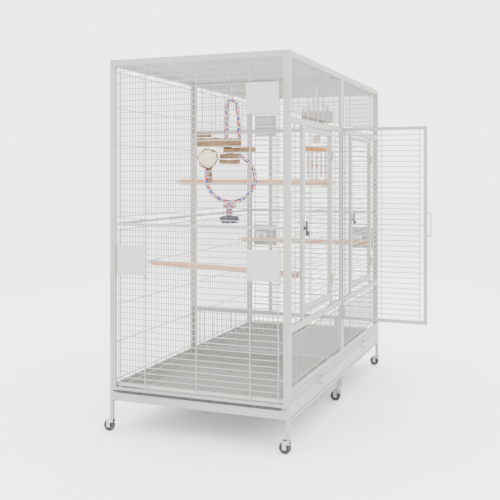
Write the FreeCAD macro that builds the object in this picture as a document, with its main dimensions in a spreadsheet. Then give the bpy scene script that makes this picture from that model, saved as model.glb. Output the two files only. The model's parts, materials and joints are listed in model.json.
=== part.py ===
import FreeCAD, Part
import math
import os
import re
from Sketcher import Constraint as SketchRule

# Large divided bird cage on casters.  Millimetres, +Z up, doors face -Y.
# The cage is drawn about its own centre (x = 0, y = 0, floor at z = 0) and every
# finished piece is then placed with y_shift, which puts the origin under the middle
# of the whole object with its divider standing half out of the front.

Vector = FreeCAD.Vector
AXES = {"x": Vector(1, 0, 0), "y": Vector(0, 1, 0), "z": Vector(0, 0, 1)}

doc = FreeCAD.newDocument("bird_cage")

# ---------------------------------------------------------------- driving sizes
DRIVING = (
    ("cage_length", 1640.0), ("cage_depth", 820.0), ("roof_top", 1609.0),
    ("base_bottom", 126.0), ("tube", 12.7), ("leg_size", 14.0), ("leg_wall", 1.5),
    ("leg_bottom", 57.0), ("sheet_metal", 1.5),
    ("wire_pitch", 25.4), ("wire_radius", 2.0), ("cross_bar", 3.4), ("weld_depth", 0.6), ("wire_overhang", 6.0),
    ("mid_rail_level", 898.0), ("wall_bottom", 181.0),
    ("feeder_inner", 240.0), ("feeder_outer", 362.0),
    ("plate_width", 140.0), ("plate_height", 127.0), ("plate_thick", 2.0),
    ("hinge_rod_radius", 2.0), ("pin_clearance", 0.05),
    ("bowl_radius", 34.0), ("bowl_rim_radius", 38.0), ("bowl_depth", 45.0), ("bowl_wall", 1.2),
    ("front_bottom", 238.0), ("floor_beam", 176.0), ("sill_low", 478.0), ("sill_high", 504.0),
    ("header_low", 1319.0), ("header_high", 1345.0),
    ("door_width", 438.0), ("door_bottom", 542.0), ("door_top", 1312.0),
    ("door_from_corner", 187.0), ("door_tube", 19.0), ("door_gap", 2.0),
    ("door_pin_radius", 3.0), ("knuckle_radius", 5.0), ("knuckle_height", 24.0),
    ("latch_level", 888.0), ("latch_radius", 4.0), ("latch_handle", 62.0),
    ("slot_width", 18.0), ("guide_slot", 13.7), ("guide_depth", 18.0), ("guide_wall", 2.0),
    ("divider_bottom", 403.0), ("divider_height", 941.0), ("divider_depth", 796.0),
    ("divider_tube", 16.0), ("divider_out", 414.0),
    ("pull_reach", 20.0), ("pull_height", 114.0), ("pull_radius", 3.0),
    ("drawer_side", 17.0), ("drawer_inside", 10.0),
    ("tray_bottom", 143.0), ("tray_wall_height", 21.0), ("tray_front_height", 56.0),
    ("grate_bottom", 201.0), ("grate_frame", 10.0), ("grate_pitch", 19.05),
    ("grate_front_low", 201.0), ("grate_front_height", 35.0),
    ("wheel_radius", 25.0), ("wheel_width", 17.0), ("axle_radius", 4.0),
    ("caster_trail", 14.0), ("stem_radius", 5.0), ("stem_length", 30.0),
    ("perch_radius", 14.0), ("slim_perch_radius", 12.0),
    ("rope_radius", 9.0), ("bolt_radius", 3.0), ("bolt_head_radius", 6.0),
)
sheet = doc.addObject("Spreadsheet::Sheet", "Sizes")
for row, (alias, value) in enumerate(DRIVING, 1):
    sheet.set("A%d" % row, alias)
    sheet.set("B%d" % row, str(value))
    sheet.setAlias("B%d" % row, alias)
doc.recompute()
ALIASES = {alias for alias, _ in DRIVING}


class Sizes:
    """The sheet's values, read back by name."""

    def __getattr__(self, alias):
        return float(sheet.get(alias))


s = Sizes()
nodes = []


# ---------------------------------------------------------------- small helpers
def cells(text):
    """An expression over the sheet's aliases, with the sheet's name put before each."""
    return re.sub(r"[a-z_]+", lambda m: "Sizes." + m.group() if m.group() in ALIASES else m.group(), text)


def block(x, y, z, length, depth, height):
    """A box from its lowest corner.  Its three sizes are expressions over the sheet."""
    box = doc.addObject("Part::Box", "block")
    box.setExpression("Length", cells(str(length)))
    box.setExpression("Width", cells(str(depth)))
    box.setExpression("Height", cells(str(height)))
    box.Placement.Base = Vector(x, y, z)
    return box


def rod(along, x, y, z, length, radius="wire_radius"):
    """A round bar that starts at a point and runs along one axis."""
    bar = doc.addObject("Part::Cylinder", "rod")
    bar.setExpression("Radius", cells(str(radius)))
    bar.setExpression("Height", cells(str(length)))
    bar.Placement = FreeCAD.Placement(
        Vector(x, y, z), FreeCAD.Rotation(Vector(0, 0, 1), AXES[along]))
    return bar


def bar(along, x, y, z, length):
    """A square cross bar of a wire panel, centred on the line that starts at a point."""
    half = s.cross_bar / 2
    sizes = ["cross_bar", "cross_bar", "cross_bar"]
    low = [x - half, y - half, z - half]
    axis = "xyz".index(along)
    sizes[axis] = length
    low[axis] += half
    return block(*low, *sizes)


def fuse(*pieces):
    joined = doc.addObject("Part::MultiFuse", "fuse")
    joined.Shapes = list(pieces)
    return joined


def cut(base, *tools):
    result = doc.addObject("Part::Cut", "cut")
    result.Base = base
    result.Tool = tools[0] if len(tools) == 1 else fuse(*tools)
    return result


def sliced(panel, *regions):
    """The solids of a panel inside each region, butted where the regions meet."""
    pieces = []
    for region in regions:
        common = doc.addObject("Part::Common", "slice")
        common.Base, common.Tool = panel, region
        pieces.append(common)
    return group(*pieces)


def group(*pieces):
    compound = doc.addObject("Part::Compound", "group")
    compound.Links = list(pieces)
    return compound


def node(label, piece, x=0.0, y=0.0, z=0.0, turn=0.0):
    """Name a finished piece and put it in the object's own frame."""
    piece.Label = label
    piece.Placement = FreeCAD.Placement(
        Vector(x, y + y_shift, z), FreeCAD.Rotation(Vector(0, 0, 1), turn))
    nodes.append(piece)
    return piece


def copy_node(label, source, x=0.0, y=0.0, z=0.0, turn=0.0):
    """A second piece of the same shape as an unplaced one."""
    return node(label, group(source), x, y, z, turn)


# ---------------------------------------------------------------- derived places
half_length = s.cage_length / 2
half_depth = s.cage_depth / 2
leg_side = half_length - s.leg_size          # inner face of the corner legs, in x
leg_front = half_depth - s.leg_size          # inner face of the corner legs, in y
wall_top = s.roof_top - s.tube               # the roof panels lie on this level
wire_plane = s.tube / 2                      # depth of the wires inside a frame
cross_step = s.wire_radius + s.cross_bar / 2 - s.weld_depth
half_slot = s.slot_width / 2
half_leg = s.leg_size / 2
caster_back = half_depth - half_leg + s.caster_trail + s.wheel_radius
divider_front = half_depth - 2 + s.divider_out + s.pull_reach
y_shift = (divider_front - caster_back) / 2
feeder_level = s.mid_rail_level - 6 * s.wire_pitch
bay = (half_length - s.leg_size - half_leg)  # width of a back panel
front_bay = half_length - s.leg_size - half_slot


# ---------------------------------------------------------------- legs and base
def leg(x, y, top):
    """Square tube, solid at its foot, where the caster's stem is held in a bore."""
    hollow = "leg_size - 2 * leg_wall"
    foot = s.leg_bottom + s.stem_length + 10
    outer = block(x - half_leg, y - half_leg, s.leg_bottom, "leg_size", "leg_size", top - s.leg_bottom)
    inside = block(x - half_leg + s.leg_wall, y - half_leg + s.leg_wall, foot, hollow, hollow, top - foot)
    bore = rod("z", x, y, s.leg_bottom, "stem_length + 1", "stem_radius + pin_clearance")
    return cut(outer, inside, bore)


corner_x = half_length - half_leg
corner_y = half_depth - half_leg
mid_leg_y = -half_depth + 1.5 * s.leg_size
leg_places = {
    "front_left": (-corner_x, -corner_y), "front_right": (corner_x, -corner_y),
    "back_left": (-corner_x, corner_y), "back_right": (corner_x, corner_y),
    "back_middle": (0.0, corner_y), "front_middle": (0.0, mid_leg_y),
}
guide_floor = s.divider_bottom - 1 - s.guide_wall


def make_legs():
    tall = [leg(x, y, wall_top) for name, (x, y) in leg_places.items() if name != "front_middle"]
    node("tall_legs", group(*tall))
    node("short_middle_leg", leg(0.0, mid_leg_y, guide_floor))
    strip_foot = 72.0
    node("front_middle_strip", group(block(
        -half_leg, -half_depth, strip_foot, "leg_size", "leg_size", guide_floor - strip_foot)))


def make_base():
    rails = []
    for y in (-half_depth, half_depth - s.tube):
        for x in (-leg_side, half_leg):
            rails.append(block(x, y, s.base_bottom, bay, "tube", "tube"))
    beam_start = mid_leg_y + half_leg
    rails.append(block(-half_leg, beam_start, s.base_bottom, "leg_size", leg_front - beam_start, "tube"))
    node("base_rails", group(*rails))

    apron_low, apron_high = 136.0, 173.0
    aprons = []
    for x in (-half_length, half_length - s.sheet_metal):
        aprons.append(block(x, -leg_front, apron_low, "sheet_metal", 2 * leg_front, apron_high - apron_low))
    back_low = s.base_bottom + s.tube
    for x in (-leg_side, half_leg):
        aprons.append(block(x, half_depth - s.sheet_metal, back_low, bay, "sheet_metal", apron_high - back_low))
    node("aprons", group(*aprons))

    runners = []
    for level, stand_height, inner in ((s.tray_bottom - 2, 14, s.sheet_metal), (s.grate_bottom - 2, 12, half_leg)):
        for side in (-1, 1):
            for wall, into in ((leg_side, -1), (inner, 1)):
                flat_from = min(side * wall, side * (wall + 16 * into))
                stand_from = min(side * wall, side * (wall + s.sheet_metal * into))
                start = -leg_front + 2 if wall == leg_side else beam_start
                run = leg_front - 6 - start
                flat = block(flat_from, start, level, 16, run, "sheet_metal")
                stand = block(stand_from, start, level, "sheet_metal", run, stand_height)
                runners.append(fuse(flat, stand))
    node("drawer_runners", group(*runners))


# ---------------------------------------------------------------- wire walls
def end_wall():
    """Outside end wall at -x: frame, mid rail and wires, open at two feeder doors."""
    x = -half_length
    inner = leg_front - s.tube
    plate = block(x, -leg_front, s.wall_bottom, "tube", 2 * leg_front, wall_top - s.wall_bottom)
    half_rail = s.tube / 2
    low = s.wall_bottom + s.tube
    windows = [
        block(x - 1, -inner, low, "tube + 2", 2 * inner, s.mid_rail_level - half_rail - low),
        block(x - 1, -inner, s.mid_rail_level + half_rail, "tube + 2", 2 * inner,
              wall_top - s.tube - s.mid_rail_level - half_rail)]
    wires = []
    for i in list(range(-27, 0)) + list(range(1, 27)):
        z = s.mid_rail_level + i * s.wire_pitch
        reach = s.feeder_outer + s.wire_overhang
        if i % 6 == 0:
            reach = inner + s.tube / 2
        if i in (-5, -6, -7):
            reach = s.feeder_inner + s.wire_radius
        wires.append(rod("y", x + wire_plane, -reach, z, 2 * reach))
    for y in (0.0, s.feeder_inner, -s.feeder_inner, s.feeder_outer, -s.feeder_outer):
        wires.append(bar("z", x + wire_plane - cross_step, y, low - 4, wall_top - s.tube - low + 8))
    panel = fuse(cut(plate, *windows), *wires)
    # Butt joints level with the top and the bottom of the feeder openings.
    gap = s.wire_radius + 0.2
    joints = [s.wall_bottom, feeder_level - 2 * s.wire_pitch + gap,
              feeder_level + 2 * s.wire_pitch - gap, wall_top]
    return sliced(panel, *[block(x - 1, -half_depth, z0, "tube + 2", "cage_depth", z1 - z0)
                           for z0, z1 in zip(joints, joints[1:])])


def cross_levels(low, high, count):
    """Even levels of the cross wires, the first and last a little inside the rails."""
    margin = 22.0
    step = (high - low - 2 * margin) / (count - 1)
    return [low + margin + step * i for i in range(count)]


def upright_wires(x_mid, y, side, low, high, rows, reach):
    """Upright wires at the pitch, welded to cross wires; every sixth reaches the rails."""
    levels = cross_levels(low, high, rows)
    wires = []
    for i in range(-14, 15):
        start, end = levels[0] - s.wire_overhang, levels[-1] + s.wire_overhang
        if i % 6 == 0:
            start, end = low - 4, high + 4
        wires.append(rod("z", x_mid + i * s.wire_pitch, y, start, end - start))
    for z in levels:
        wires.append(bar("x", x_mid - reach - 4, y + side * cross_step, z, 2 * reach + 8))
    return wires


def back_wall():
    x, y = -leg_side, half_depth - s.tube
    low, high = s.wall_bottom + s.tube, wall_top - s.tube
    half_rail = s.tube / 2
    x_mid, reach = x + bay / 2, bay / 2 - s.tube
    plate = block(x, y, s.wall_bottom, bay, "tube", wall_top - s.wall_bottom)
    windows, wires = [], []
    for z0, z1 in ((low, s.mid_rail_level - half_rail), (s.mid_rail_level + half_rail, high)):
        windows.append(block(x + s.tube, y - 1, z0, 2 * reach, "tube + 2", z1 - z0))
        wires += upright_wires(x_mid, y + wire_plane, 1, z0, z1, 5, reach)
    return fuse(cut(plate, *windows), *wires)


door_left = -half_length + s.door_from_corner
door_right = door_left + s.door_width
hinge_x = door_right + s.door_gap / 2
hinge_y = -half_depth - s.knuckle_radius


def front_wall():
    """Front of the left bay: wire panels over and under the door, wire strips beside it."""
    x, y = -leg_side, -half_depth
    x_end = x + front_bay
    high = wall_top - s.tube
    low = s.front_bottom + s.tube
    x_mid, reach = x + front_bay / 2, front_bay / 2 - s.tube
    jamb_a = door_left - s.door_gap
    jamb_b = door_right + s.door_gap
    sill = s.door_bottom - s.door_gap - s.tube
    plate = block(x, y, s.front_bottom, front_bay, "tube", wall_top - s.front_bottom)
    strip = s.header_low - s.sill_high
    windows = [
        block(x + s.tube, y - 1, s.header_high, 2 * reach, "tube + 2", high - s.header_high),
        block(x + s.tube, y - 1, low, 2 * reach, "tube + 2", s.sill_low - low),
        block(x + s.tube, y - 1, s.sill_high, jamb_a - 2 * s.tube - x, "tube + 2", strip),
        block(jamb_b + s.tube, y - 1, s.sill_high, x_end - 2 * s.tube - jamb_b, "tube + 2", strip),
        block(jamb_a, y - 1, sill + s.tube, jamb_b - jamb_a, "tube + 2", s.header_low - sill - s.tube),
        block(jamb_a, y - 1, s.sill_high, jamb_b - jamb_a, "tube + 2", sill - s.sill_high)]
    wires = upright_wires(x_mid, y + wire_plane, 1, s.header_high, high, 2, reach)
    wires += upright_wires(x_mid, y + wire_plane, 1, low, s.sill_low, 2, reach)
    for start, end in ((x + s.tube, jamb_a - s.tube), (jamb_b + s.tube, x_end - s.tube)):
        for i in range(1, int(strip / s.wire_pitch) + 1):
            z = s.sill_high + (i - 0.75) * s.wire_pitch
            wires.append(rod("x", start - 4, y + wire_plane, z, end - start + 8))
        wires.append(bar("z", (start + end) / 2, y + wire_plane + cross_step, s.sill_high - 4, strip + 8))
    panel = fuse(cut(plate, *windows), *wires)
    # Butt joints round the doorway: panel under it, strips beside it, sill, panel over it.
    deep = "tube + 2"
    return sliced(
        panel,
        block(x, y - 1, s.front_bottom, front_bay, deep, s.sill_high - s.front_bottom),
        block(x, y - 1, s.sill_high, jamb_a - x, deep, strip),
        block(jamb_a, y - 1, s.sill_high, jamb_b - jamb_a, deep, strip),
        block(jamb_b, y - 1, s.sill_high, x_end - jamb_b, deep, strip),
        block(x, y - 1, s.header_low, front_bay, deep, wall_top - s.header_low))


def roof():
    x, z = -half_length, wall_top
    span = half_length - 0.5
    plate = block(x, -half_depth, z, span, "cage_depth", "tube")
    window = block(x + s.tube, -half_depth + s.tube, z - 1, span - 2 * s.tube,
                   "cage_depth - 2 * tube", "tube + 2")
    x_mid, reach = x + span / 2, half_depth - s.tube + 4
    wires = []
    for i in range(-15, 16):
        wires.append(rod("y", x_mid + i * s.wire_pitch, -reach, z + wire_plane, 2 * reach))
    for y in (-300.0, -100.0, 100.0, 300.0):
        wires.append(bar("x", x + s.tube - 4, y, z + wire_plane - cross_step, span - 2 * s.tube + 8))
    return fuse(cut(plate, window), *wires)


def middle_upper():
    """Guide channel for the divider's top, with a wire panel up to the roof."""
    z0 = s.header_high + s.guide_wall
    channel_low = z0 - s.guide_depth
    run = half_depth + leg_front
    channel = cut(
        block(-half_slot, -half_depth, channel_low, "slot_width", run, "guide_depth"),
        block(-s.guide_slot / 2, -half_depth - 1, channel_low - 1, "guide_slot", run + 2,
              "guide_depth + 1 - guide_wall"))
    bars = [block(-half_slot, -half_depth, z0, "slot_width", "tube", wall_top - z0),
            block(-half_slot, leg_front - s.tube, z0, "slot_width", "tube", wall_top - z0),
            block(-half_slot, -half_depth, wall_top - s.tube, "slot_width", run, "tube")]
    wires = []
    for i in range(-14, 15):
        wires.append(rod("z", 0, -7 + i * s.wire_pitch, z0 - 1, wall_top - s.tube - z0 + 3))
    wires.append(bar("y", cross_step, -half_depth + s.tube - 3, (z0 + wall_top) / 2,
                     run - 2 * s.tube + 6))
    return fuse(channel, *bars, *wires)


def middle_lower():
    """Channel for the divider's foot on short bars, over the web between the drawers."""
    start = mid_leg_y + half_leg
    run = half_depth + leg_front
    channel = cut(
        block(-half_slot, -half_depth, guide_floor, "slot_width", run, "guide_depth"),
        block(-s.guide_slot / 2, -half_depth - 1, guide_floor + s.guide_wall, "guide_slot", run + 2,
              "guide_depth"))
    depth = leg_front - start
    web_low = s.base_bottom + s.tube
    foot = s.floor_beam + s.grate_frame
    rise = guide_floor - foot
    bars = [block(-half_leg, start, foot, "leg_size", depth, "tube"),
            block(-half_leg, start, foot, "leg_size", "tube", rise),
            block(-half_leg, leg_front - s.tube, foot, "leg_size", "tube", rise),
            block(-s.sheet_metal, start, web_low, "2 * sheet_metal", depth, foot - web_low)]
    wires = [rod("z", 0, 7 + i * s.wire_pitch, foot + s.tube - 1, rise - s.tube + 2)
             for i in range(-14, 15)]
    return fuse(channel, *bars, *wires)


def make_walls():
    end = end_wall()
    copy_node("end_panel_left", end)
    copy_node("end_panel_right", end, turn=180)
    back = back_wall()
    copy_node("back_panel_left", back)
    copy_node("back_panel_right", back, x=bay + s.leg_size)
    front = front_wall()
    copy_node("front_panel_left", front)
    copy_node("front_panel_right", front, x=front_bay + s.slot_width)
    top = roof()
    copy_node("roof_panel_left", top)
    copy_node("roof_panel_right", top, x=half_length + 0.5)
    node("middle_upper_panel", middle_upper())
    node("middle_lower_panel", middle_lower())
    plaque_z, plaque_size = 1357.0, 127.0
    plaque_y = -half_depth + 46
    plaque = block(-half_length - 0.5, plaque_y, plaque_z, "plate_thick", "plate_width", plaque_size)
    other = block(half_length + 0.5 - s.plate_thick, -plaque_y - s.plate_width, plaque_z,
                  "plate_thick", "plate_width", plaque_size)
    node("blank_plaques", group(plaque, other))


# ---------------------------------------------------------------- doors
def door():
    """Door of the left bay with its two hinge knuckles and the hole for its latch."""
    y = -half_depth
    height = "door_top - door_bottom"
    plate = block(door_left, y, s.door_bottom, "door_width", "tube", height)
    inner_w = s.door_width - 2 * s.door_tube
    window = block(door_left + s.door_tube, y - 1, s.door_bottom + s.door_tube,
                   "door_width - 2 * door_tube", "tube + 2", height + " - 2 * door_tube")
    wires = []
    tall = s.door_top - s.door_bottom - 2 * s.door_tube
    for i in range(1, int(tall / s.wire_pitch) + 1):
        z = s.door_bottom + s.door_tube + (i - 0.4) * s.wire_pitch
        wires.append(rod("x", door_left + s.door_tube - 4, y + wire_plane, z, inner_w + 8))
    for x in (door_left + s.door_tube + 22, door_right - s.door_tube - 22):
        wires.append(bar("z", x, y + wire_plane + cross_step, s.door_bottom + s.door_tube - 4, tall + 8))
    knuckles, bores = [], []
    for z in hinge_levels:
        knuckles.append(rod("z", hinge_x, hinge_y, z, "knuckle_height", "knuckle_radius"))
        knuckles.append(block(hinge_x - 21, -half_depth - 3, z, 21, 3.2, "knuckle_height"))
        bores.append(rod("z", hinge_x, hinge_y, z - 1, "knuckle_height + 2",
                         "door_pin_radius + pin_clearance"))
    latch_bore = rod("y", latch_x, y - 1, s.latch_level, "tube + 2", "latch_radius + pin_clearance")
    return cut(fuse(cut(plate, window), *wires, *knuckles), *bores, latch_bore)


hinge_levels = (628.0, 1200.0)
latch_x = door_left + s.door_tube / 2


def door_latch():
    """Turn latch: bar handle outside, shaft through the stile, tongue inside."""
    front = -half_depth
    shaft = rod("y", 0, front - 8, 0, "tube + 12", "latch_radius")
    collar = rod("y", 0, front - 3, 0, 2.6, 9)
    handle = block(-6, front - 15, -s.latch_handle / 2, 12, 8, "latch_handle")
    flare = block(-4, front - 22, -s.latch_handle / 2, 8, 8, 20)
    tongue = block(-5, front + s.tube + 1.3, -6, 10, 3, 28)
    return fuse(shaft, collar, handle, flare, tongue)


def door_pins():
    """Fixed half of a lift-off hinge: a pin on a bracket, one for each knuckle."""
    pins = []
    for x in (hinge_x, hinge_x + door_step):
        for z in hinge_levels:
            pin = rod("z", x, hinge_y, z - 12, "knuckle_height + 10", "door_pin_radius")
            seat = rod("z", x, hinge_y, z - 22, 21.5, "knuckle_radius")
            leaf = block(x, -half_depth - 3, z - 22, 16, 3, 21.5)
            pins.append(fuse(pin, seat, leaf))
    return group(*pins)


door_step = front_bay + s.slot_width


def make_doors():
    leaf = door()
    copy_node("door_left", leaf)
    copy_node("door_right", leaf, x=door_step)
    latch = door_latch()
    copy_node("door_latch_left", latch, x=latch_x, z=s.latch_level)
    copy_node("door_latch_right", latch, x=latch_x + door_step, z=s.latch_level)
    node("door_hinge_pins", door_pins())


# ---------------------------------------------------------------- feeder doors
feeder_hinges = (s.feeder_inner - 10, -s.feeder_outer - 10)
plate_x = -half_length - s.plate_thick - 1
feeder_axis_x = plate_x + s.plate_thick / 2


def feeder_door():
    """Plate on two knuckles with the ring that carries a bowl; the hinge axis is at 0, 0."""
    half = s.plate_height / 2
    plate = block(-s.plate_thick / 2, 4, -half, "plate_thick", "plate_width", "plate_height")
    knuckles, bores = [], []
    for z in (-half + 8, half - 24):
        knuckles.append(rod("z", 0, 0, z, 16, 4.2))
        bores.append(rod("z", 0, 0, z - 1, 18, "hinge_rod_radius + pin_clearance"))
    ring_z = 18.0
    ring = cut(rod("z", 44, 66, ring_z, 6, "bowl_rim_radius"),
               rod("z", 44, 66, ring_z - 1, 8, "bowl_radius + 0.6"))
    arm = block(0, 56, ring_z, 9.5, 20, 6)
    knob = rod("x", -8, s.plate_width - 4, -half + 9, 8, 4)
    return cut(fuse(plate, ring, arm, knob, *knuckles), *bores)


def bowl():
    """Feed bowl: a straight cup that hangs in the ring by its rim."""
    low = 24.0 - s.bowl_depth
    cup = rod("z", 44, 66, low, "bowl_depth + 1.5", "bowl_radius")
    rim = rod("z", 44, 66, 24.0, 1.5, "bowl_rim_radius")
    hollow = rod("z", 44, 66, low + s.bowl_wall, "bowl_depth + 3", "bowl_radius - bowl_wall")
    return cut(fuse(cup, rim), hollow)


def feeder_rods():
    """Hinge rods, each bent in to the wall's upright wire at both ends."""
    rods = []
    half = s.plate_height / 2
    for turn in (1, -1):
        for y in feeder_hinges:
            x0 = min(turn * (feeder_axis_x - 2), turn * (-half_length + 3.5))
            y0 = min(turn * (y - 2), turn * (y + 12))
            pin = rod("z", turn * feeder_axis_x, turn * y, feeder_level - half - 6,
                      "plate_height + 12", "hinge_rod_radius")
            depth = abs(-half_length + 3.5 - feeder_axis_x + 2)
            feet = [block(x0, y0, feeder_level + z, depth, 14, 4) for z in (-half - 8, half + 4)]
            rods.append(fuse(pin, *feet))
    return group(*rods)


def make_feeders():
    plate, cup = feeder_door(), bowl()
    for side, turn in (("left", 0), ("right", 180)):
        sign = 1 if turn == 0 else -1
        for place, y in zip(("back", "front") if sign == 1 else ("front", "back"), feeder_hinges):
            at = dict(x=sign * feeder_axis_x, y=sign * y, z=feeder_level, turn=turn)
            copy_node("feeder_door_%s_%s" % (side, place), plate, **at)
            copy_node("feed_bowl_%s_%s" % (side, place), cup, **at)
    node("feeder_hinge_rods", feeder_rods())


# ---------------------------------------------------------------- divider
def make_divider():
    """Slide-out divider, drawn where it stands: pulled half-way out of the front."""
    y = -half_depth + 2 - s.divider_out
    z = s.divider_bottom
    plate = block(-s.tube / 2, y, z, "tube", "divider_depth", "divider_height")
    window = block(-s.tube, y + s.divider_tube, z + s.divider_tube, "2 * tube",
                   "divider_depth - 2 * divider_tube", "divider_height - 2 * divider_tube")
    wires = []
    top = z + s.divider_height - s.divider_tube
    inner = s.divider_depth - 2 * s.divider_tube
    uprights = [y + n * s.wire_pitch for n in (1.4, 8.6, 15.8, 22.9, 29.9)]
    for i in range(1, 36):
        level = z + s.divider_tube + (i - 0.1) * s.wire_pitch
        start, end = uprights[0] - s.wire_overhang, uprights[-1] + s.wire_overhang
        if i % 9 == 0:
            start, end = y + s.divider_tube - 4, y + s.divider_tube + inner + 4
        wires.append(rod("y", 0, start, level, end - start))
    for u in uprights:
        wires.append(bar("z", cross_step, u, z + s.divider_tube - 4, top - z - s.divider_tube + 8))
    node("divider", fuse(cut(plate, window), *wires))

    pull_low = 821.0
    reach = s.pull_reach - s.pull_radius
    grip = rod("z", 0, y - reach, pull_low, "pull_height", "pull_radius")
    arms = [rod("y", 0, y - reach, pull_low + h, reach, "pull_radius")
            for h in (s.pull_radius, s.pull_height - s.pull_radius)]
    node("divider_pull", fuse(grip, *arms))


# ---------------------------------------------------------------- drawers
drawer_x = -half_length + s.drawer_side
drawer_width = half_length - s.drawer_side - s.drawer_inside
drawer_depth = half_depth + leg_front - 4
drawer_step = half_length - s.drawer_side + s.drawer_inside


def pull_loop(z):
    """Small wire pull at the middle of a drawer's front."""
    x = drawer_x + drawer_width / 2
    y = -half_depth
    bar = rod("x", x - 16, y - 14, z, 32, 2)
    stubs = [rod("y", x + side * 12, y - 14, z, 15, 1.8) for side in (-1, 1)]
    return [bar] + stubs


def rectangle_sketch(body, name, places):
    """Sketch on the body's XY plane: a rectangle fixed by four sheet expressions."""
    sketch = body.newObject("Sketcher::SketchObject", name)
    plane = [f for f in body.Origin.OriginFeatures if f.Role == "XY_Plane"][0]
    sketch.AttachmentSupport = (plane, [""])
    sketch.MapMode = "FlatFace"
    corners = [Vector(0, 0, 0), Vector(100, 0, 0), Vector(100, 100, 0), Vector(0, 100, 0)]
    for i in range(4):
        sketch.addGeometry(Part.LineSegment(corners[i], corners[(i + 1) % 4]), False)
    add = sketch.addConstraint
    for i in range(4):
        add(SketchRule("Coincident", i, 2, (i + 1) % 4, 1))
    for i, rule in enumerate(("Horizontal", "Vertical", "Horizontal", "Vertical")):
        add(SketchRule(rule, i))
    rules = [SketchRule("DistanceX", -1, 1, 0, 1, 1.0), SketchRule("DistanceY", -1, 1, 0, 1, 1.0),
             SketchRule("DistanceX", 0, 1, 0, 2, 100.0), SketchRule("DistanceY", 1, 1, 1, 2, 100.0)]
    for rule, expression in zip(rules, places):
        index = add(rule)
        sketch.setExpression("Constraints[%d]" % index, cells(expression))
    return sketch


def tray():
    """Pressed tray: a pad pocketed to a pan, and a taller front plate with its pull."""
    body = doc.addObject("PartDesign::Body", "tray_pan")
    width, depth = "(cage_length / 2 - drawer_side - drawer_inside - 2)", "(cage_depth - leg_size - 6)"
    outline = rectangle_sketch(body, "pan_outline", ("1", "1", width, depth))
    pad = body.newObject("PartDesign::Pad", "pan")
    pad.Profile = outline
    pad.setExpression("Length", cells("tray_wall_height"))
    doc.recompute()
    solid_volume = pad.Shape.Volume
    inside = rectangle_sketch(body, "pan_inside", (
        "1 + sheet_metal", "1 + sheet_metal", width + " - 2 * sheet_metal", depth + " - 2 * sheet_metal"))
    inside.AttachmentOffset = FreeCAD.Placement(Vector(0, 0, s.sheet_metal), FreeCAD.Rotation())
    pocket = body.newObject("PartDesign::Pocket", "hollow")
    pocket.Profile = inside
    pocket.setExpression("Length", cells("tray_wall_height"))
    pocket.Reversed = True
    doc.recompute()
    if pocket.Shape.Volume > 0.2 * solid_volume:
        raise RuntimeError("the tray's pocket cut nothing")
    body.Placement.Base = Vector(drawer_x, -half_depth, s.tray_bottom)
    front = block(drawer_x, -half_depth, s.tray_bottom, drawer_width, 2, "tray_front_height")
    return fuse(body, front, *pull_loop(s.tray_bottom + s.tray_front_height - 12))


def grate():
    """Floor grate: frame, wires front to back, and a front plate that rises over the tray's."""
    frame = s.grate_frame
    z = s.grate_bottom
    behind = -half_depth + 3
    depth = drawer_depth - 3
    plate = block(drawer_x, behind, z, drawer_width, depth, "grate_frame")
    inner_w, inner_d = drawer_width - 2 * frame, depth - 2 * frame
    window = block(drawer_x + frame, behind + frame, z - 1, inner_w, inner_d, "grate_frame + 2")
    skirt = block(drawer_x, behind, z, drawer_width, 2, "grate_front_low + grate_front_height - grate_bottom")
    front = block(drawer_x, -half_depth, s.grate_front_low, drawer_width, 4, "grate_front_height")
    wires = []
    count = int(inner_w / s.grate_pitch)
    first = drawer_x + frame + (inner_w - (count - 1) * s.grate_pitch) / 2
    for i in range(count):
        wires.append(rod("y", first + i * s.grate_pitch, behind + frame - 3, z + 7, inner_d + 6, 1.6))
    for y in (-200.0, 0.0, 200.0):
        wires.append(bar("x", drawer_x + frame - 3, y, z + 7 - cross_step, inner_w + 6))
    pull = pull_loop(s.grate_front_low + s.grate_front_height / 2)
    return fuse(cut(plate, window), skirt, front, *wires, *pull)


def make_drawers():
    for name, piece in (("tray", tray()), ("grate", grate())):
        copy_node(name + "_left", piece)
        copy_node(name + "_right", piece, x=drawer_step)


# ---------------------------------------------------------------- casters
def caster_fork():
    """Swivel fork about its stem: stem, cap plate, two cheeks and the wheel's axle."""
    top = s.leg_bottom
    cheek_x = s.wheel_width / 2 + 1.2
    stem = rod("z", 0, 0, top - 1, "stem_length", "stem_radius")
    cap = rod("z", 0, 0, top - 5, 4.7, 12)
    reach = s.caster_trail + 9
    pieces = [stem, cap]
    for side in (-1, 1):
        x = side * cheek_x - (2 if side < 0 else 0)
        pieces.append(block(x, -8, s.wheel_radius + 14, 2, reach + 8, top - 5 - s.wheel_radius - 14))
        pieces.append(block(x, s.caster_trail - 8, s.wheel_radius - 8, 2, 17, 24))
    pieces.append(block(-cheek_x - 2, -8, top - 5, 2 * cheek_x + 4, reach + 8, 2))
    pieces.append(rod("x", -cheek_x - 4, s.caster_trail, s.wheel_radius, 2 * cheek_x + 8, "axle_radius"))
    return fuse(*pieces)


def caster_wheel():
    """Wheel about its own axle at 0, 0, 0: bored hub, web and rounded tread."""
    half = s.wheel_width / 2
    tread = rod("x", -half, 0, 0, "wheel_width", "wheel_radius")
    rounded = doc.addObject("Part::Fillet", "tread")
    rounded.Base = tread
    doc.recompute()
    rims = [i + 1 for i, e in enumerate(tread.Shape.Edges) if len(e.Vertexes) == 1]
    rounded.Edges = [(i, 4.0, 4.0) for i in rims]
    tools = [rod("x", -half - 1, 0, 0, "wheel_width + 2", "axle_radius + pin_clearance")]
    for x in (-half - 1, half - 3):
        tools.append(cut(rod("x", x, 0, 0, 4, "wheel_radius - 8"), rod("x", x - 1, 0, 0, 6, 8)))
    return cut(rounded, *tools)


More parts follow.
